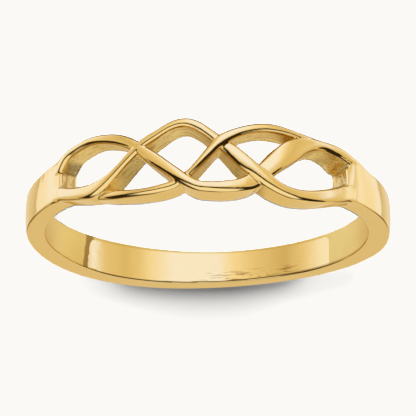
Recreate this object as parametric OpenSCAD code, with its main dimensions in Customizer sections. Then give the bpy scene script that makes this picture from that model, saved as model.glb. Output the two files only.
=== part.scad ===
/* [Finger] */
// Inner diameter of the finger hole
finger_d = 17.3; // [15:0.1:21]

/* [Band] */
// Radial thickness of the plain band
band_t = 1.07; // [0.8:0.01:1.4]
// How far the middle of the band's outer face stands proud of its edges
band_crown = 0.07; // [0.02:0.01:0.15]

/* [Knot] */
// Radial height of the knot at its middle
knot_t = 1.72; // [1.5:0.01:2.2]
// Angle from the knot's middle at which the band starts to thicken towards it
swell_angle = 75; // [60:1:85]
// How far the middle of a strand's domed top stands proud of its edges
strand_crown = 0.22; // [0.1:0.01:0.3]

/* [Rest] */
// Tilt of the ring where it lies by itself on the knot's rim and the back of the band
rest_tilt = 4.1; // [0:0.01:6]

/* [Hidden] */
$fn = 96;

finger_r = finger_d / 2;
// Stock left inside the finger hole until the hole is cut, different in each piece
band_stock = 0.3;
strand_stock = [0.45, 0.6, 0.75];
bore_length = 12;
// Degrees between the sections of the band and of a strand, which fall on the multiples of these
band_step = 5;
strand_step = 2;
// Angles from the knot's middle where the outer eyes end and where the band's own crown begins
eye_angle = 50;
dome_angle = 65;
// Where the middle of the finger hole lies at that rest
hole_middle = [0.06, 0.3245, 1.5394];

// Every table below holds a row for each section, by its angle in degrees round the
// finger hole from the knot's middle, positive towards +X. The two edges are heights
// above or below the band's middle plane, in millimetres.

// Plain band from one eye of the knot round the back to the other; lift is how much thicker it
// is than its sides, and how far it dips below the strands at its ends
// angle, lower edge, upper edge, lift
band_rows = [
    [ 49.8, -1.24, 0.90, -0.14],
    [ 55,   -1.18, 0.94,  0.00],
    [ 62,   -1.08, 0.94,  0.00],
    [ 75,   -1.02, 0.95,  0.00],
    [100,   -0.94, 0.93,  0.05],
    [128,   -0.93, 1.02,  0.24],
    [145,   -0.92, 1.08,  0.17],
    [160,   -0.88, 1.05,  0.12],
    [180,   -0.84, 0.94,  0.10],
    [200,   -0.88, 0.90,  0.03],
    [220,   -0.92, 0.94,  0.03],
    [235,   -0.93, 0.96,  0.16],
    [250,   -0.94, 0.97,  0.28],
    [262,   -0.95, 0.96,  0.20],
    [275,   -1.00, 0.97,  0.10],
    [285,   -1.04, 0.98,  0.05],
    [295,   -1.12, 1.02,  0.00],
    [300,   -1.24, 1.04,  0.00],
    [304,   -1.24, 1.07, -0.02],
    [308,   -0.60, 1.12, -0.14],
];

// The three strands: lift is how far a strand rises over, or dips under, its neighbours
// angle, lower edge, upper edge, lift
strand_1 = [
    [-62,  -1.20, -0.98, -0.14],
    [-56,  -1.44, -1.02, -0.04],
    [-50,  -1.62, -1.12,  0.00],
    [-46,  -1.68, -1.17,  0.00],
    [-40,  -1.68, -1.18,  0.00],
    [-35,  -1.64, -0.87,  0.02],
    [-30,  -1.45, -0.16,  0.03],
    [-25,  -0.98,  0.48,  0.00],
    [-18,   0.22,  1.48, -0.20],
    [-13,   1.00,  1.80, -0.08],
    [ -8,   1.25,  1.92,  0.00],
    [ -3,   1.32,  1.90,  0.02],
    [  1,   1.20,  1.80,  0.04],
    [  6,   0.56,  1.36,  0.08],
    [ 12,  -0.28,  0.58,  0.05],
    [ 16,  -0.80,  0.04,  0.03],
    [ 20,  -1.31, -0.60,  0.00],
    [ 25,  -1.69, -1.06, -0.02],
    [ 31,  -1.87, -1.35, -0.02],
    [ 36,  -1.90, -1.44, -0.02],
    [ 42,  -1.76, -1.28, -0.01],
    [ 46,  -1.62, -1.08,  0.00],
    [ 50,  -1.37, -0.56,  0.00],
    [ 55,  -1.12, -0.30, -0.12],
];

strand_2 = [
    [-56,   0.15,  1.04, -0.12],
    [-51,   0.31,  1.30,  0.00],
    [-46,   0.66,  1.54,  0.00],
    [-40,   1.01,  1.78,  0.00],
    [-35,   1.22,  1.90,  0.00],
    [-30,   1.29,  1.92,  0.02],
    [-25,   1.10,  1.76,  0.04],
    [-20,   0.55,  1.42,  0.08],
    [-16,   0.02,  0.98,  0.06],
    [-12,  -0.58,  0.52, -0.06],
    [ -8,  -1.06, -0.18, -0.16],
    [ -4,  -1.54, -0.82, -0.08],
    [  0,  -1.98, -1.34,  0.00],
    [  4,  -2.16, -1.64,  0.00],
    [  8,  -2.04, -1.52,  0.00],
    [ 13,  -1.60, -1.04,  0.00],
    [ 17,  -1.24, -0.62,  0.02],
    [ 21,  -0.70, -0.06,  0.02],
    [ 26,   0.06,  0.70,  0.06],
    [ 30,   0.48,  1.18,  0.08],
    [ 35,   0.68,  1.46,  0.04],
    [ 40,   0.65,  1.38,  0.02],
    [ 45,   0.48,  1.22,  0.00],
    [ 50,   0.20,  1.02,  0.00],
    [ 55,   0.05,  0.88, -0.12],
];

strand_3 = [
    [-42,  -1.64, -1.32, -0.04],
    [-34,  -1.80, -1.34, -0.06],
    [-28,  -1.94, -1.50, -0.04],
    [-23,  -2.04, -1.54,  0.00],
    [-18,  -1.98, -1.46,  0.02],
    [-13,  -1.75, -1.20,  0.05],
    [ -9,  -1.48, -0.82,  0.08],
    [ -6,  -1.20, -0.42,  0.08],
    [ -3,  -0.64,  0.12,  0.04],
    [  0,   0.00,  0.66,  0.00],
    [  3,   0.58,  1.16, -0.08],
    [  7,   1.06,  1.60, -0.18],
    [ 12,   1.35,  1.80, -0.12],
    [ 17,   1.44,  1.85, -0.12],
    [ 22,   1.38,  1.82, -0.18],
    [ 28,   1.15,  1.72, -0.30],
    [ 33,   1.00,  1.56, -0.42],
    [ 38,   0.80,  1.36, -0.55],
];

// Upper wall of strand 1 in the widest eye, which leans out over the finger hole
// angle, lean between the strand's outer edge and the finger hole
eye_lean = [
    [-62, 0.40],
    [-56, 0.50],
    [-50, 0.67],
    [-46, 0.42],
    [-40, 0.24],
    [-35, 0.20],
    [-28, 0.00],
];
no_lean = [[-90, 0], [90, 0]];

// Row of a table that an angle falls after
function row_before(table, a, i = 0) =
    i >= len(table) - 2 || a < table[i + 1][0] ? i : row_before(table, a, i + 1);

// Slope of a column at a row, from the rows on both sides of it
function slope(table, i, col) =
    let (lo = max(i - 1, 0), hi = min(i + 1, len(table) - 1))
    (table[hi][col] - table[lo][col]) / (table[hi][0] - table[lo][0]);

// Value of a column at any angle, on a smooth curve through the rows
function at(table, a, col) =
    let (
        i = row_before(table, a),
        p = table[i],
        q = table[i + 1],
        span = q[0] - p[0],
        u = (a - p[0]) / span,
        leave = slope(table, i, col) * span,
        arrive = slope(table, i + 1, col) * span
    )
    p[col] + u * leave
    + u * u * (3 * (q[col] - p[col]) - 2 * leave - arrive)
    + u * u * u * (2 * (p[col] - q[col]) + leave + arrive);

// How far an angle is from the knot's middle, on either side
function off(a) = min(abs(a), 360 - abs(a));

// Radial height of the metal at an angle from the knot's middle
function swell(a) =
    off(a) >= swell_angle ? band_t
    : band_t + (knot_t - band_t) * (1 + cos(180 * off(a) / swell_angle)) / 2;

// Crown of the band, which grows to that of the strands where it meets them
function dome(a) =
    off(a) >= dome_angle ? band_crown
    : band_crown + (strand_crown - band_crown) * (dome_angle - off(a)) / (dome_angle - eye_angle);

// Lean of a strand's upper wall, which stays as it is past the last row
function lean(rows, a) = at(rows, min(a, rows[len(rows) - 1][0]), 1);

// Point of a section: radius from the axis and height, turned to the section's angle
function placed(a, r, z) = [r * sin(a), -r * cos(a), z];

// Points across a dome: place between its edges, share of the crown that it lies below the top
DOME = [[-1, 1], [-0.86, 0.45], [-0.5, 0.12], [0, 0], [0.5, 0.12], [0.86, 0.45], [1, 1]];

// Domed section between two edges, from its foot inside the finger hole
function section(a, low, high, height, crown, stock, wall_lean = 0) =
    let (
        mid = (low + high) / 2,
        half = (high - low) / 2,
        top = finger_r + height,
        foot = finger_r - stock
    )
    concat(
        [placed(a, foot, low)],
        [for (d = DOME) placed(a, top - crown * d[1], mid + half * d[0])],
        [placed(a, foot, high + wall_lean * (height + stock) / height)]
    );

// End face of a sweep, in strips between points that stand one above the other
function cap(n, flip) =
    let (m = (n - 1) / 2)
    [for (j = [0:m - 1])
        let (f = j < m - 1 ? [j, j + 1, n - 2 - j, n - 1 - j] : [j, j + 1, j + 2])
        flip ? [for (k = [len(f) - 1:-1:0]) f[k]] : f];

// Solid through a list of sections that all have the same odd number of points
module sweep(sections) {
    n = len(sections[0]);
    last = len(sections) - 1;
    polyhedron(
        points = [for (s = sections) each s],
        faces = concat(
            cap(n, true),
            [for (i = [0:last - 1], j = [0:n - 1])
                let (k = (j + 1) % n)
                each [
                    [i * n + j, i * n + k, (i + 1) * n + j],
                    [i * n + k, (i + 1) * n + k, (i + 1) * n + j]
                ]],
            [for (f = cap(n, false)) [for (k = f) last * n + k]]
        )
    );
}

// Angles of a table's sections: its two ends, and the multiples of a step between them that
// do not fall right beside an end
function stations(rows, step) =
    let (
        first = rows[0][0],
        end = rows[len(rows) - 1][0],
        before = floor(first / step) * step
    )
    concat(first, [for (a = [before:step:end - step / 4]) if (a > first + step / 4) a], end);

module band() {
    sweep([for (a = stations(band_rows, band_step))
        section(a, at(band_rows, a, 1), at(band_rows, a, 2), swell(a) + at(band_rows, a, 3),
            dome(a), band_stock)]);
}

module strand(rows, stock, leaning = no_lean) {
    sweep([for (a = stations(rows, strand_step))
        section(a, at(rows, a, 1), at(rows, a, 2), swell(a) + at(rows, a, 3), strand_crown, stock,
            lean(leaning, a))]);
}

module knot() {
    strand(strand_1, strand_stock[0], eye_lean);
    strand(strand_2, strand_stock[1]);
    strand(strand_3, strand_stock[2]);
}

module ring() {
    color("goldenrod")
    translate(hole_middle)
    rotate([-rest_tilt, 0, 0])
    difference() {
        union() {
            band();
            knot();
        }
        translate([0, 0, -bore_length / 2]) cylinder(r = finger_r, h = bore_length);
    }
}

ring();
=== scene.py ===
import math

import bpy
import numpy as np
from mathutils import Matrix, Vector


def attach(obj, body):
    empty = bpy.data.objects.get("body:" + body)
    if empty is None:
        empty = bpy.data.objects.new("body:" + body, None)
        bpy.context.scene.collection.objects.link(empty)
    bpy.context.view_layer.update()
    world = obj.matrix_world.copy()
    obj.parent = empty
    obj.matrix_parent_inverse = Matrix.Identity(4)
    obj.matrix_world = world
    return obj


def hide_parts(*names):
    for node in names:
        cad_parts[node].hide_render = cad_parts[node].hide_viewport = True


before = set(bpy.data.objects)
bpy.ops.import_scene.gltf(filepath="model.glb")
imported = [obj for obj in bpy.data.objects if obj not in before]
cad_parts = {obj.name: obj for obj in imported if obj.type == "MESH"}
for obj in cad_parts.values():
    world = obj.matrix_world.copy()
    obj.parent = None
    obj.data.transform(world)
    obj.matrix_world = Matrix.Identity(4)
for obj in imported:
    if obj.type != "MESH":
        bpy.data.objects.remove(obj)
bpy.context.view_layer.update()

# Sizes are in millimetres and angles in degrees, as in the part's source.
MM = 0.001
FINGER_R = 8.65
BAND_T = 1.07
KNOT_T = 1.72
SWELL_ANGLE = 75
REST_TILT = 4.1
HOLE_MIDDLE = (0.06, 0.3245, 1.5394)

# Paths of the band and the three strands, by the angle round the finger hole from the
# knot's middle, positive towards +X. Edges are heights from the band's middle plane.
# angle, lower edge, upper edge, lift
BAND = np.array([
    [49.8, -1.24, 0.90, -0.14],
    [55, -1.18, 0.94, 0],
    [62, -1.08, 0.94, 0],
    [75, -1.02, 0.95, 0],
    [100, -0.94, 0.93, 0.05],
    [128, -0.93, 1.02, 0.24],
    [145, -0.92, 1.08, 0.17],
    [160, -0.88, 1.05, 0.12],
    [180, -0.84, 0.94, 0.10],
    [200, -0.88, 0.90, 0.03],
    [220, -0.92, 0.94, 0.03],
    [235, -0.93, 0.96, 0.16],
    [250, -0.94, 0.97, 0.28],
    [262, -0.95, 0.96, 0.20],
    [275, -1.00, 0.97, 0.10],
    [285, -1.04, 0.98, 0.05],
    [295, -1.12, 1.02, 0],
    [300, -1.24, 1.04, 0],
    [304, -1.24, 1.07, -0.02],
    [308, -0.60, 1.12, -0.14],
])

STRAND_1 = np.array([
    [-62, -1.20, -0.98, -0.14],
    [-56, -1.44, -1.02, -0.04],
    [-50, -1.62, -1.12, 0],
    [-46, -1.68, -1.17, 0],
    [-40, -1.68, -1.18, 0],
    [-35, -1.64, -0.87, 0.02],
    [-30, -1.45, -0.16, 0.03],
    [-25, -0.98, 0.48, 0],
    [-18, 0.22, 1.48, -0.20],
    [-13, 1.00, 1.80, -0.08],
    [-8, 1.25, 1.92, 0],
    [-3, 1.32, 1.90, 0.02],
    [1, 1.20, 1.80, 0.04],
    [6, 0.56, 1.36, 0.08],
    [12, -0.28, 0.58, 0.05],
    [16, -0.80, 0.04, 0.03],
    [20, -1.31, -0.60, 0],
    [25, -1.69, -1.06, -0.02],
    [31, -1.87, -1.35, -0.02],
    [36, -1.90, -1.44, -0.02],
    [42, -1.76, -1.28, -0.01],
    [46, -1.62, -1.08, 0],
    [50, -1.37, -0.56, 0],
    [55, -1.12, -0.30, -0.12],
])

STRAND_2 = np.array([
    [-56, 0.15, 1.04, -0.12],
    [-51, 0.31, 1.30, 0],
    [-46, 0.66, 1.54, 0],
    [-40, 1.01, 1.78, 0],
    [-35, 1.22, 1.90, 0],
    [-30, 1.29, 1.92, 0.02],
    [-25, 1.10, 1.76, 0.04],
    [-20, 0.55, 1.42, 0.08],
    [-16, 0.02, 0.98, 0.06],
    [-12, -0.58, 0.52, -0.06],
    [-8, -1.06, -0.18, -0.16],
    [-4, -1.54, -0.82, -0.08],
    [0, -1.98, -1.34, 0],
    [4, -2.16, -1.64, 0],
    [8, -2.04, -1.52, 0],
    [13, -1.60, -1.04, 0],
    [17, -1.24, -0.62, 0.02],
    [21, -0.70, -0.06, 0.02],
    [26, 0.06, 0.70, 0.06],
    [30, 0.48, 1.18, 0.08],
    [35, 0.68, 1.46, 0.04],
    [40, 0.65, 1.38, 0.02],
    [45, 0.48, 1.22, 0],
    [50, 0.20, 1.02, 0],
    [55, 0.05, 0.88, -0.12],
])

STRAND_3 = np.array([
    [-42, -1.64, -1.32, -0.04],
    [-34, -1.80, -1.34, -0.06],
    [-28, -1.94, -1.50, -0.04],
    [-23, -2.04, -1.54, 0],
    [-18, -1.98, -1.46, 0.02],
    [-13, -1.75, -1.20, 0.05],
    [-9, -1.48, -0.82, 0.08],
    [-6, -1.20, -0.42, 0.08],
    [-3, -0.64, 0.12, 0.04],
    [0, 0.00, 0.66, 0],
    [3, 0.58, 1.16, -0.08],
    [7, 1.06, 1.60, -0.18],
    [12, 1.35, 1.80, -0.12],
    [17, 1.44, 1.85, -0.12],
    [22, 1.38, 1.82, -0.18],
    [28, 1.15, 1.72, -0.30],
    [33, 1.00, 1.56, -0.42],
    [38, 0.80, 1.36, -0.55],
])

# In the widest eye the wall above strand 1 leans out over the finger hole: angle, lean
EYE_LEAN = np.array([
    [-62, 0.40],
    [-56, 0.50],
    [-50, 0.67],
    [-46, 0.42],
    [-40, 0.24],
    [-35, 0.20],
    [-28, 0],
])
NO_LEAN = np.array([[-180, 0], [360, 0]])

# Crown of each polished top, and the rounding of its lower and upper edges
BAND_CROWN = 0.07
BAND_ROUND = (0.10, 0.12)
STRAND_CROWN = 0.09
STRAND_ROUND = (0.14, 0.20)
# Rounding of the finger hole's rims
RIM_ROUND = 0.08
# Inset of the polished tops, which keeps them inside the part's flat-sided ones
INSET = 0.01
# Width over which neighbouring strands melt together, in the knot and in the shoulders, and
# the angles between which the one width grows into the other
KNOT_MELT = 0.04
SHOULDER_MELT = 0.16
MELT_GROWS = (44, 54)

# Surface's grid: degrees between its planes across the knot and round the back, the angles
# between which the one grows into the other, and the spacing and reach of its heights
FINE_ANGLE = 0.36
COARSE_ANGLE = 1.3
CELLS_GROW = (58, 83)
CELL = 0.06
LOWEST = -2.30
HIGHEST = 2.08
# Fractions of the metal's radial height: a few listed, then evenly past the thickest corner
FIRST_RISES = [-0.035, 0.018, 0.06, 0.14, 0.24, 0.34, 0.44, 0.53]
TOP_RISES = np.arange(0.59, 1.34, 0.035)
# Times that each crossed line of the grid is halved to find the surface
HALVINGS = 14
# Shares of a cell's strongest direction: weaker ones are ignored, or make no crease
WEAK_SHARE = 0.06
CREASE_SHARE = 0.12
# Farthest that a vertex may lie from its cell's crossings, and its longest slide to the surface
FARTHEST = 1.5 * CELL
LONGEST_SLIDE = 0.02
# Bend, in degrees, above which a face's corner keeps its own normal
CREASE_ANGLE = 28


def at(table, angle, column):
    """Value of a column at any angle, on the part's own smooth curve through the rows."""
    angles = table[:, 0]
    values = table[:, column]
    slopes = np.empty(len(table))
    slopes[1:-1] = (values[2:] - values[:-2]) / (angles[2:] - angles[:-2])
    slopes[0] = (values[1] - values[0]) / (angles[1] - angles[0])
    slopes[-1] = (values[-1] - values[-2]) / (angles[-1] - angles[-2])
    angle = np.clip(angle, angles[0], angles[-1])
    row = np.clip(np.searchsorted(angles, angle, side="right") - 1, 0, len(table) - 2)
    span = angles[row + 1] - angles[row]
    u = (angle - angles[row]) / span
    start, end = values[row], values[row + 1]
    leave, arrive = slopes[row] * span, slopes[row + 1] * span
    return (
        start + u * leave
        + u**2 * (3 * (end - start) - 2 * leave - arrive)
        + u**3 * (2 * (start - end) + leave + arrive)
    )


def share(value, start, end):
    """How far a value has come from start to end, from 0 to 1."""
    return np.clip((value - start) / (end - start), 0, 1)


def swell(angle):
    """Radial height of the metal at an angle from the knot's middle."""
    off = np.abs((angle + 180) % 360 - 180)
    rise = (1 + np.cos(np.pi * np.minimum(off / SWELL_ANGLE, 1))) / 2
    return BAND_T + (KNOT_T - BAND_T) * rise


def rounded(a, b, radius):
    """Where two half-spaces meet, with their convex edge rounded."""
    a, b = a + radius, b + radius
    return np.minimum(np.maximum(a, b), 0) + np.hypot(np.maximum(a, 0), np.maximum(b, 0)) - radius


def melted(a, b, width):
    """Union of two bodies, with their concave edge filled over a width."""
    blend = np.maximum(width - np.abs(a - b), 0) / width
    return np.minimum(a, b) - blend**2 * width / 4


def sweep_field(table, angle, z, r, crown, radius, lean=NO_LEAN):
    """How far a point is outside one swept piece, negative inside it."""
    low, high, lift = (at(table, angle, column) for column in (1, 2, 3))
    step = 0.5
    per_degree = FINGER_R * np.pi / 180
    low_slope, high_slope = (
        (at(table, angle + step, column) - at(table, angle - step, column)) / (2 * step * per_degree)
        for column in (1, 2))
    height = swell(angle) + lift - INSET
    leaning = at(lean, angle, 1)
    wall = high + leaning * np.clip((FINGER_R + height - r) / height, 0, 1.2)
    wall_slope = np.hypot(high_slope, leaning / height)
    side = np.maximum((low - z) / np.hypot(1, low_slope), (z - wall) / np.hypot(1, wall_slope))
    end = np.maximum(table[0, 0] - angle, angle - table[-1, 0]) * per_degree
    across = np.clip((2 * z - low - high) / (high - low), -1, 1)
    top = r - (FINGER_R + height - crown * across**2)
    upper = radius[1] * (1 - leaning)
    radius = radius[0] + (upper - radius[0]) * (across + 1) / 2
    return rounded(np.maximum(side, end), top, radius)


def ring_field(angle, z, r):
    """How far a point is outside the whole ring, negative inside it."""
    signed = (angle + 180) % 360 - 180
    shoulder = share(np.abs(signed), *MELT_GROWS)
    melt = KNOT_MELT + (SHOULDER_MELT - KNOT_MELT) * shoulder**2 * (3 - 2 * shoulder)
    body = sweep_field(STRAND_1, signed, z, r, STRAND_CROWN, STRAND_ROUND, EYE_LEAN)
    for table in (STRAND_2, STRAND_3):
        body = melted(body, sweep_field(table, signed, z, r, STRAND_CROWN, STRAND_ROUND), melt)
    body = melted(body, sweep_field(BAND, angle % 360, z, r, BAND_CROWN, BAND_ROUND), melt)
    return rounded(body, FINGER_R - r, RIM_ROUND)


def slope_of(angle, z, r):
    """Outward normal of the ring's surface, and the field's steepness, at points near it."""
    h = 0.004
    turn = np.degrees(h / r)
    round_the_hole = (ring_field(angle + turn, z, r) - ring_field(angle - turn, z, r)) / (2 * h)
    along = (ring_field(angle, z + h, r) - ring_field(angle, z - h, r)) / (2 * h)
    outward = (ring_field(angle, z, r + h) - ring_field(angle, z, r - h)) / (2 * h)
    a = np.radians(angle)
    normal = np.stack([
        round_the_hole * np.cos(a) + outward * np.sin(a),
        round_the_hole * np.sin(a) - outward * np.cos(a),
        along,
    ], axis=-1)
    steepness = np.linalg.norm(normal, axis=-1)
    return normal / steepness[:, None], steepness


def place(angle, z, r):
    """Points in the ring's own frame, from angle, height and radius."""
    a = np.radians(angle)
    return np.stack([r * np.sin(a), -r * np.cos(a), z], axis=-1)


def unplace(points):
    """Angle, height and radius of points in the ring's own frame."""
    angle = np.degrees(np.arctan2(points[:, 0], -points[:, 1]))
    return angle, points[:, 2], np.hypot(points[:, 0], points[:, 1])


def grid_planes():
    """Angles from -180 to 180, close together across the knot, then heights and rises."""
    half = [0.0]
    while half[-1] < 180:
        half.append(half[-1] + FINE_ANGLE + (COARSE_ANGLE - FINE_ANGLE) * share(half[-1], *CELLS_GROW))
    half = np.array(half) * 180 / half[-1]
    angles = np.concatenate([-half[:0:-1], half[:-1]])
    return angles, np.arange(LOWEST, HIGHEST, CELL), np.concatenate([FIRST_RISES, TOP_RISES])


def crossings(values, planes, axis):
    """Where the surface cuts the grid's lines along one axis: cells, direction and places."""
    angles, heights, rises = planes
    if axis == 0:
        here = values
        ahead = np.roll(values, -1, axis=0)
    else:
        here = np.take(values, range(values.shape[axis] - 1), axis=axis)
        ahead = np.take(values, range(1, values.shape[axis]), axis=axis)
    i, j, k = np.nonzero((here < 0) != (ahead < 0))
    start = [angles[i], heights[j], rises[k]]
    stop = list(start)
    if axis == 0:
        stop[0] = angles[(i + 1) % len(angles)] + np.where(i == len(angles) - 1, 360, 0)
    elif axis == 1:
        stop[1] = heights[j + 1]
    else:
        stop[2] = rises[k + 1]
    inside_first = here[i, j, k] < 0
    low = np.zeros(len(i))
    high = np.ones(len(i))
    for _ in range(HALVINGS):
        middle = (low + high) / 2
        angle, z, rise = (s + (e - s) * middle for s, e in zip(start, stop))
        same = (ring_field(angle, z, FINGER_R + swell(angle) * rise) < 0) == inside_first
        low = np.where(same, middle, low)
        high = np.where(same, high, middle)
    angle, z, rise = (s + (e - s) * (low + high) / 2 for s, e in zip(start, stop))
    return (i, j, k), inside_first, (angle, z, FINGER_R + swell(angle) * rise)


def cells_round(line, axis, shape):
    """The four cells round each of the grid's lines along one axis, in turn."""
    cells = []
    for first, second in [(0, 0), (-1, 0), (-1, -1), (0, -1)]:
        shift = [0, 0, 0]
        shift[(axis + 1) % 3] = first
        shift[(axis + 2) % 3] = second
        cell = ((line[0] + shift[0]) % shape[0], line[1] + shift[1], line[2] + shift[2])
        cells.append(np.ravel_multi_index(cell, shape))
    return cells


def fitted(middle, matrix, target):
    """Points that lie nearest to their cells' tangent planes, and whether each is off the creases."""
    rest = target - (matrix @ middle[:, :, None])[:, :, 0]
    strength, direction = np.linalg.eigh(matrix)
    keep = strength > WEAK_SHARE * strength[:, 2:]
    inverse = np.where(keep, 1 / np.where(keep, strength, 1), 0)
    turned = direction.transpose(0, 2, 1) @ rest[:, :, None]
    offset = (direction @ (inverse[:, :, None] * turned))[:, :, 0]
    offset[np.linalg.norm(offset, axis=-1) > FARTHEST] = 0
    return middle + offset, strength[:, 1] < CREASE_SHARE * strength[:, 2]


def corner_normals(vertices, faces, own_normals):
    """Normal at each corner of each face: its vertex's own, or on a crease its own side's."""
    corners = vertices[faces]
    centre = corners.mean(axis=1, keepdims=True)
    near = (corners + 0.3 * (centre - corners)).reshape(-1, 3)
    side, _ = slope_of(*unplace(near))
    own = own_normals[faces].reshape(-1, 3)
    soft = (side * own).sum(-1) > math.cos(math.radians(CREASE_ANGLE))
    creased = np.zeros(len(vertices), bool)
    creased[faces.reshape(-1)[~soft]] = True
    return np.where(creased[faces].reshape(-1)[:, None], side, own)


def ring_surface():
    """Vertices and faces of the whole ring, in its own frame, and each vertex's normal."""
    planes = grid_planes()
    shape = tuple(len(p) for p in planes)
    grid = np.meshgrid(*planes, indexing="ij")
    values = ring_field(grid[0], grid[1], FINGER_R + swell(grid[0]) * grid[2])

    # Each cell that the surface passes through gets one vertex, fitted to the tangent planes
    cells = int(np.prod(shape))
    count = np.zeros(cells)
    mass = np.zeros((cells, 3))
    moment = np.zeros((cells, 9))
    target = np.zeros((cells, 3))
    quads = []
    for axis in range(3):
        line, inside_first, spot = crossings(values, planes, axis)
        point = place(*spot)
        normal, _ = slope_of(*spot)
        outer = (normal[:, :, None] * normal[:, None, :]).reshape(-1, 9)
        along = (normal * point).sum(-1)
        index = cells_round(line, axis, shape)
        for cell in index:
            count += np.bincount(cell, minlength=cells)
            for c in range(3):
                mass[:, c] += np.bincount(cell, point[:, c], minlength=cells)
                target[:, c] += np.bincount(cell, normal[:, c] * along, minlength=cells)
            for c in range(9):
                moment[:, c] += np.bincount(cell, outer[:, c], minlength=cells)
        quad = np.stack(index, axis=-1)
        quads.append(np.where(inside_first[:, None], quad, quad[:, ::-1]))
    used = np.nonzero(count)[0]
    vertices, smooth = fitted(
        mass[used] / count[used, None], moment[used].reshape(-1, 3, 3), target[used])
    number = np.full(cells, -1)
    number[used] = np.arange(len(used))
    faces = number[np.concatenate(quads)]

    # Vertices off the creases slide onto the surface
    for _ in range(2):
        spot = unplace(vertices)
        normal, steepness = slope_of(*spot)
        step = np.clip(ring_field(*spot) / steepness, -LONGEST_SLIDE, LONGEST_SLIDE)
        vertices[smooth] -= (normal * step[:, None])[smooth]
    return vertices, faces, slope_of(*unplace(vertices))[0]


def pierced(vertices, normals):
    """How much each vertex belongs to a cut wall inside the knot, from 0 to 1."""
    angle, z, r = unplace(vertices)
    outward = np.stack([np.sin(np.radians(angle)), -np.cos(np.radians(angle))], axis=-1)
    facing_out = np.abs((normals[:, :2] * outward).sum(-1))
    lowest = np.full(len(angle), np.inf)
    highest = np.full(len(angle), -np.inf)
    for table in (STRAND_1, STRAND_2, STRAND_3):
        there = (angle > table[0, 0]) & (angle < table[-1, 0])
        lowest = np.where(there, np.minimum(lowest, at(table, angle, 1)), lowest)
        highest = np.where(there, np.maximum(highest, at(table, angle, 2)), highest)
    near_knot = share(np.abs(angle), 56, 53)
    within = share(np.minimum(z - lowest, highest - z), 0.12, 0.17)
    steepest = 0.35 + 0.45 * at(EYE_LEAN, angle, 1)
    return near_knot * within * share(steepest - facing_out, 0, 0.2)


def rest_matrix():
    """Turns the ring's own frame, in metres, to where it lies by itself."""
    move = Matrix.Translation(Vector(HOLE_MIDDLE) * MM)
    return move @ Matrix.Rotation(math.radians(-REST_TILT), 4, "X")


class Shader:
    """Makes and links the nodes of one material, or of the world."""

    def __init__(self, owner):
        owner.use_nodes = True
        self.nodes = owner.node_tree.nodes
        self.links = owner.node_tree.links

    def put(self, slot, value):
        """Sets an input to a number, a colour or another node's output."""
        if isinstance(value, bpy.types.NodeSocket):
            self.links.new(value, slot)
        elif slot.type == "RGBA":
            slot.default_value = (*value, 1)
        else:
            slot.default_value = value

    def maths(self, operation, *values):
        node = self.nodes.new("ShaderNodeMath")
        node.operation = operation
        for slot, value in zip(node.inputs, values):
            self.put(slot, value)
        return node.outputs["Value"]

    def product(self, first, *others):
        for other in others:
            first = self.maths("MULTIPLY", first, other)
        return first

    def between(self, value, low, high, to_low=0, to_high=1):
        """Carries a value from one range to another, and holds it there."""
        node = self.nodes.new("ShaderNodeMapRange")
        names = ("Value", "From Min", "From Max", "To Min", "To Max")
        for name, number in zip(names, (value, low, high, to_low, to_high)):
            self.put(node.inputs[name], number)
        return node.outputs["Result"]

    def split(self, vector):
        node = self.nodes.new("ShaderNodeSeparateXYZ")
        self.put(node.inputs[0], vector)
        return node.outputs

    def joined(self, *values):
        node = self.nodes.new("ShaderNodeCombineXYZ")
        for slot, value in zip(node.inputs, values):
            self.put(slot, value)
        return node.outputs[0]

    def noise(self, scale, vector, detail=2):
        node = self.nodes.new("ShaderNodeTexNoise")
        for name, value in (("Scale", scale), ("Detail", detail), ("Vector", vector)):
            self.put(node.inputs[name], value)
        return node.outputs["Fac"]

    def attribute(self, name):
        node = self.nodes.new("ShaderNodeAttribute")
        node.attribute_name = name
        return node.outputs["Fac"]

    def mixed(self, factor, first, second):
        """Blend of two colours."""
        node = self.nodes.new("ShaderNodeMix")
        node.data_type = "RGBA"
        self.put(node.inputs["Factor"], factor)
        self.put(node.inputs[6], first)
        self.put(node.inputs[7], second)
        return node.outputs[2]

    def ramp(self, value, stops):
        """Colour by a value from 0 to 1."""
        node = self.nodes.new("ShaderNodeValToRGB")
        elements = node.color_ramp.elements
        while len(elements) < len(stops):
            elements.new(0.5)
        for element, (position, colour) in zip(elements, stops):
            element.position = position
            element.color = (*colour, 1)
        self.put(node.inputs["Fac"], value)
        return node.outputs["Color"]

    def bump(self, height, strength, distance, normal=None):
        node = self.nodes.new("ShaderNodeBump")
        for name, value in (("Height", height), ("Strength", strength), ("Distance", distance)):
            self.put(node.inputs[name], value)
        if normal is not None:
            self.put(node.inputs["Normal"], normal)
        return node.outputs["Normal"]


# Colours of the metal: polished, in the pierced walls and their furrows, and inside the band: scratches,
# and painted reflections round the panel, at its end and along the rim
POLISHED = (0.95, 0.71, 0.30)
WALL = (1.00, 0.80, 0.36)
FURROW = (0.50, 0.30, 0.07)
PAINTED_DIM_REFLECTION = (0.87, 0.62, 0.17)
PANEL_END_DARK_REFLECTION = (0.42, 0.25, 0.05)
SCRATCH = (0.45, 0.28, 0.08)
RIM_DARK_REFLECTION = (0.20, 0.13, 0.05)
# Burnished panel inside the back of the band, with a surround that is rougher and painted darker as
# reflection, in metres: where its two ends lie in X, its far edge as a level above the band's middle plane,
# its corners' radius, and the slant of one end
PANEL_ENDS = (0.0067, -0.00638)
PANEL_EDGE = -0.00074
PANEL_CORNER = 0.0003
PANEL_SLANT = -0.09
# Level at which the painted dark reflection line along the hole's rim begins, from one X to another
LINE_ENDS = (-0.003, 0.0045)
LINE_LEVELS = (0.00078, 0.00096)


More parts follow.
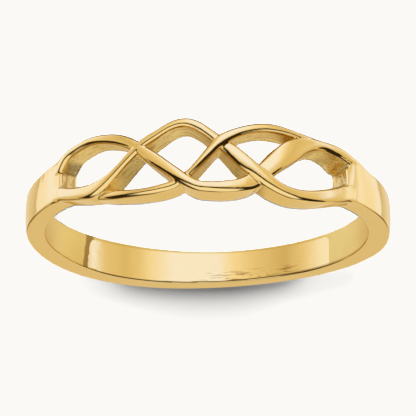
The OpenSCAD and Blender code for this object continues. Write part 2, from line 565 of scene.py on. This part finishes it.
def gold():
    """Polished yellow gold: grained walls in the knot, a burnished panel inside the band, and painted
    reflections: a darker tone round the panel, dark lines at its end and along the rim.
    """
    material = bpy.data.materials.new("polished_gold")
    s = Shader(material)
    surface = s.nodes["Principled BSDF"].inputs
    s.put(surface["Metallic"], 1)
    here = s.nodes.new("ShaderNodeTexCoord").outputs["Object"]
    x, y, z = s.split(here)
    wall = s.attribute("pierced")
    bore = s.attribute("bore")

    # Streaks that follow the strands: quick across the wall's depth, slow along it
    radius = s.maths("SQRT", s.maths("ADD", s.product(x, x), s.product(y, y)))
    streak = s.noise(4500, s.joined(s.product(x, 0.25), s.product(z, 0.25), radius), 3)
    grain = s.noise(9000, here, 3)
    furrow = s.maths("MAXIMUM", s.between(streak, 0.46, 0.35), s.between(grain, 0.42, 0.33))

    # Level above the band's middle plane, which leans with the ring
    lean = math.sin(math.radians(REST_TILT))
    middle_level = (HOLE_MIDDLE[2] + HOLE_MIDDLE[1] * lean) * MM
    level = s.maths("ADD", s.product(y, lean), s.maths("SUBTRACT", z, middle_level))

    # The back of the band's inside is burnished in a panel with sharp ends. Round it the metal is rougher
    # and painted darker as a painted reflection, and a painted dark reflection line lies at one end
    ragged = s.product(s.maths("SUBTRACT", s.noise(2600, here), 0.5), 0.0002)
    slanted = s.maths("ADD", x, s.product(level, PANEL_SLANT))
    past_left = s.maths("SUBTRACT", s.maths("ADD", slanted, ragged), PANEL_ENDS[0])
    past_right = s.maths("SUBTRACT", PANEL_ENDS[1], x)
    past_ends = s.maths("ADD", s.maths("MAXIMUM", past_left, past_right), PANEL_CORNER)
    past_end = s.maths("MAXIMUM", past_ends, 0)
    past_edge = s.maths("MAXIMUM", s.maths("SUBTRACT", PANEL_CORNER + PANEL_EDGE, level), 0)
    squares = s.maths("ADD", s.product(past_end, past_end), s.product(past_edge, past_edge))
    outside = s.maths("SUBTRACT", s.maths("SQRT", squares), PANEL_CORNER)
    rough_and_painted_dim = s.product(bore, s.between(outside, -0.00002, 0.00002))
    painted_end_line = s.product(
        rough_and_painted_dim, s.between(past_left, 0.00026, 0.0002), s.between(past_left, -0.0002, -0.0001))

    # Scratches on the panel, and a painted dark reflection line along the hole's rim
    scratches = s.between(s.noise(7000, s.joined(s.product(x, 0.15), level), 4), 0.51, 0.58)
    scratched = s.product(
        scratches, bore, s.between(level, 0.0002, 0.0005),
        s.between(x, 0.0010, -0.0002), s.between(x, -0.0052, -0.0040), 0.75)
    near_rim = s.maths("SUBTRACT", level, s.between(x, *LINE_ENDS, *LINE_LEVELS))
    painted_rim_line = s.product(
        bore, s.between(near_rim, 0, 0.00005),
        s.between(x, 0.0075, 0.0045), s.between(x, -0.0075, -0.0045), 0.8)

    tone = s.mixed(wall, POLISHED, WALL)
    # Painted reflection: darker metal colour round the burnished panel
    tone = s.mixed(rough_and_painted_dim, tone, PAINTED_DIM_REFLECTION)
    # Painted dark reflection line at the panel's left end
    tone = s.mixed(painted_end_line, tone, PANEL_END_DARK_REFLECTION)
    tone = s.mixed(scratched, tone, SCRATCH)
    # Painted dark reflection line along the hole's rim
    tone = s.mixed(painted_rim_line, tone, RIM_DARK_REFLECTION)
    tone = s.mixed(s.product(wall, furrow, 0.6), tone, FURROW)
    s.put(surface["Base Color"], tone)

    polish = s.between(s.noise(700, here), 0.3, 0.7, 0.05, 0.11)
    satin = s.maths("ADD", polish, s.product(wall, 0.22))
    s.put(surface["Roughness"], s.maths("ADD", satin, s.product(rough_and_painted_dim, 0.3)))
    wavy = s.bump(s.noise(1500, here), 0.5, 0.00002)
    s.put(surface["Normal"], s.bump(s.maths("ADD", streak, grain), wall, 0.00003, wavy))
    return material


def ring_piece():
    vertices, faces, own_normals = ring_surface()
    normals = corner_normals(vertices, faces, own_normals)
    walls = pierced(vertices, own_normals)
    bore = (unplace(vertices)[2] < FINGER_R + 0.02).astype(float)
    turn = np.array(rest_matrix())
    vertices = vertices * MM @ turn[:3, :3].T + turn[:3, 3]
    normals = normals @ turn[:3, :3].T
    mesh = bpy.data.meshes.new("ring_metal")
    mesh.from_pydata(vertices.tolist(), [], faces.tolist())
    mesh.attributes.new("pierced", "FLOAT", "POINT").data.foreach_set("value", walls)
    mesh.attributes.new("bore", "FLOAT", "POINT").data.foreach_set("value", bore)
    mesh.polygons.foreach_set("use_smooth", np.ones(len(faces), bool))
    mesh.normals_split_custom_set(normals.tolist())
    mesh.update()
    mesh.materials.append(gold())
    piece = bpy.data.objects.new("ring_metal", mesh)
    bpy.context.scene.collection.objects.link(piece)
    return piece


# The camera, as fitted to the photograph: angles to the ring's own plane and to its knot
CAMERA_ABOVE_PLANE = 18.037
CAMERA_TURN = -2.292
CAMERA_ROLL = -0.164
CAMERA_DISTANCE = 300
PICTURE = 416
PIXELS_PER_MM = 18.65
AIM_PIXEL = (206.6, 218.697)
AIM_POINT = Vector((0, 0, 0.06))


def camera():
    """Looks down on the knot from in front, upside down, so that the knot is at the top."""
    turn = math.radians(CAMERA_TURN)
    above = math.radians(CAMERA_ABOVE_PLANE)
    roll = math.radians(CAMERA_ROLL)
    front = Vector((math.sin(turn), -math.cos(turn), 0))
    axis = Vector((0, 0, 1))
    towards = front * math.cos(above) + axis * math.sin(above)
    level_up = front * math.sin(above) - axis * math.cos(above)
    level_right = level_up.cross(towards)
    right = level_right * math.cos(roll) + level_up * math.sin(roll)
    up = level_up * math.cos(roll) - level_right * math.sin(roll)
    local = Matrix((right, up, towards)).transposed().to_4x4()
    local.translation = (AIM_POINT + towards * CAMERA_DISTANCE) * MM
    data = bpy.data.cameras.new("camera")
    data.sensor_width = 36
    data.lens = PIXELS_PER_MM * CAMERA_DISTANCE / PICTURE * data.sensor_width
    data.shift_x = (PICTURE / 2 - AIM_PIXEL[0]) / PICTURE
    data.shift_y = (AIM_PIXEL[1] - PICTURE / 2) / PICTURE
    data.clip_start = 0.01
    data.clip_end = 20
    shooter = bpy.data.objects.new("camera", data)
    shooter.matrix_world = rest_matrix() @ local
    bpy.context.scene.collection.objects.link(shooter)
    bpy.context.scene.camera = shooter
    return shooter.matrix_world.copy()


def floor():
    """Pale matte table that the ring lies on."""
    mesh = bpy.data.meshes.new("table")
    half = 1.5
    corners = [(-half, -half, 0), (half, -half, 0), (half, half, 0), (-half, half, 0)]
    mesh.from_pydata(corners, [], [(0, 1, 2, 3)])
    material = bpy.data.materials.new("pale_table")
    s = Shader(material)
    surface = s.nodes["Principled BSDF"].inputs
    s.put(surface["Base Color"], (0.70, 0.69, 0.67))
    s.put(surface["Roughness"], 0.9)
    s.put(surface["Specular IOR Level"], 0)
    s.put(surface["Emission Color"], (1, 0.99, 0.957))
    s.put(surface["Emission Strength"], 0.16)
    mesh.materials.append(material)
    table = bpy.data.objects.new("table", mesh)
    table.visible_glossy = False
    bpy.context.scene.collection.objects.link(table)


# Light levels that the metal reflects
CREAM = (1.00, 1.12, 1.75)
BRIGHT = (1.00, 1.04, 1.25)
PALE = (0.98, 0.95, 0.92)
WARM = (0.85, 0.76, 0.58)
MIDDLE = (0.76, 0.65, 0.42)
DEEP = (0.68, 0.57, 0.36)
BROWN = (0.50, 0.38, 0.16)
UMBER = (0.22, 0.15, 0.06)
BLACK = (0.03, 0.02, 0.01)
# Panels of the low ring of light, by the angle round the room
PANELS = [
    (-180, WARM), (-158, WARM), (-146, MIDDLE), (-144, BROWN), (-142, BRIGHT), (-128, PALE),
    (-117, BRIGHT), (-100, WARM), (-91, CREAM), (-81, WARM), (-62, MIDDLE), (-52, WARM),
    (-42, PALE), (-26, CREAM), (6, CREAM), (16, PALE), (32, WARM), (55, DEEP), (70, WARM),
    (86, BRIGHT), (108, CREAM), (122, BRIGHT), (136, PALE), (138, BROWN), (140, MIDDLE),
    (160, WARM), (180, WARM)]
# The upper room: in front by height, and round what the flat side mirrors, in its middle and aside
FRONT = [(0, MIDDLE), (0.53, MIDDLE), (0.56, BLACK), (0.72, BLACK), (0.80, PALE), (0.97, PALE), (1, MIDDLE)]
ROUND_FLAT = [(0, MIDDLE), (0.60, MIDDLE), (0.70, BROWN), (0.88, BROWN), (0.92, MIDDLE), (1, MIDDLE)]
ASIDE = [(0, MIDDLE), (0.64, MIDDLE), (0.72, UMBER), (0.88, UMBER), (0.92, MIDDLE), (1, MIDDLE)]
# Directions that the ring's flat side, and the leaning wall of the widest eye, mirror to the lens
FLAT_MIRROR = (0.001, 0.971, 0.239)
EYE_MIRROR = (-0.300, 0.745, 0.595)


def studio():
    """Ring of light panels, low down, under a darker room with a black band in front."""
    world = bpy.data.worlds.new("studio")
    bpy.context.scene.world = world
    world.cycles_visibility.diffuse = False
    bpy.context.scene.cycles.caustics_reflective = False
    s = Shader(world)
    sky = s.nodes.new("ShaderNodeTexCoord").outputs["Generated"]
    x, y, z = s.split(sky)

    def sum_of(first, first_share, second, second_share):
        return s.maths("MULTIPLY_ADD", first, first_share, s.product(second, second_share))

    around = s.between(s.maths("ARCTAN2", x, s.product(y, -1)), -math.pi, math.pi)
    low = s.ramp(around, [((angle + 180) / 360, colour) for angle, colour in PANELS])
    front = s.ramp(s.between(sum_of(z, 1, y, -0.25), -0.75, 1.25), FRONT)
    near_flat = s.between(sum_of(y, FLAT_MIRROR[1], z, FLAT_MIRROR[2]), 0, 1)
    aside = s.between(s.product(x, x), 0.06, 0.16)
    back = s.mixed(aside, s.ramp(near_flat, ROUND_FLAT), s.ramp(near_flat, ASIDE))
    high = s.mixed(s.between(y, 0.55, 0.8), front, back)
    near_eye = s.nodes.new("ShaderNodeVectorMath")
    near_eye.operation = "DOT_PRODUCT"
    s.put(near_eye.inputs[0], sky)
    s.put(near_eye.inputs[1], EYE_MIRROR)
    high = s.mixed(s.between(near_eye.outputs["Value"], 0.93, 0.965), high, WARM)
    room = s.mixed(s.between(z, -0.22, 0.06), low, high)
    behind = s.between(sum_of(z, -1, y, 0.6), 0.93, 1)
    s.put(s.nodes["Background"].inputs["Color"], s.mixed(behind, room, UMBER))


# Sun on the table: strength, width, turn and height, in degrees
KEY_STRENGTH = 14.9
KEY_WIDTH = 12
KEY_TURN = 2
KEY_HEIGHT = 14.8
# Beams on the table: middle and half size of the oval in pixels, blend, energy, roll in degrees
BEAMS = {
    "fill": ((206, 190), (190, 96), 0.4, 12, 0),
    "fill_left": ((-59, 275), (276, 120), 1, 4, 0),
    "fill_right": ((427, 275), (194, 120), 1, 4.4, 0),
    "edge_left": ((62, 268), (72, 15), 0.9, 7, -21),
    "edge_right": ((352, 266), (72, 15), 0.9, 8, 21),
    "side_right": ((398, 232), (30, 60), 0.9, 6, 0),
}


def lamp(data, matrix):
    """Adds a light that shines on the table only, and isn't mirrored in the metal."""
    light = bpy.data.objects.new(data.name, data)
    light.matrix_world = matrix
    light.visible_glossy = False
    bpy.context.scene.collection.objects.link(light)


def beam(name, viewpoint, middle, half, blend, energy, roll):
    """Beam from beside the lens, so that it throws no shadow that shows, on an oval of the picture."""
    data = bpy.data.lights.new(name, "SPOT")
    data.energy = energy
    data.spot_size = 2 * math.atan(half[0] / PIXELS_PER_MM / CAMERA_DISTANCE)
    data.spot_blend = blend
    data.shadow_soft_size = 0.0005
    aside = Vector((middle[0] - AIM_PIXEL[0], AIM_PIXEL[1] - middle[1], 0)) * MM / PIXELS_PER_MM
    oval = Matrix.Rotation(math.radians(roll), 4, "Z") @ Matrix.Diagonal((1, half[1] / half[0], 1, 1))
    lamp(data, viewpoint @ Matrix.Translation(aside) @ oval)


def lamps(viewpoint):
    """Soft low key light from the knot's side, and beams in the hole and beside the band."""
    key = bpy.data.lights.new("key", "SUN")
    key.energy = KEY_STRENGTH
    key.angle = math.radians(KEY_WIDTH)
    turn = Matrix.Rotation(math.radians(KEY_TURN), 4, "Z")
    lamp(key, turn @ Matrix.Rotation(math.radians(90 - KEY_HEIGHT), 4, "X"))
    for name, settings in BEAMS.items():
        beam(name, viewpoint, *settings)


# Background white, as linear red, green and blue
PAPER = (0.956, 0.947, 0.913)


def paper_white():
    """Plain view of the light levels, which ends at the white of the photograph's background."""
    view = bpy.context.scene.view_settings
    view.view_transform = "Standard"
    view.use_curve_mapping = True
    for curve, level in zip(view.curve_mapping.curves, PAPER):
        curve.points[1].location = (1, level)
        curve.points.new(level, level)
        for point in curve.points:
            point.handle_type = "VECTOR"
    view.curve_mapping.update()


ring = ring_piece()
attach(ring, "root")
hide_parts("ring")

viewpoint = camera()
floor()
studio()
lamps(viewpoint)
paper_white()
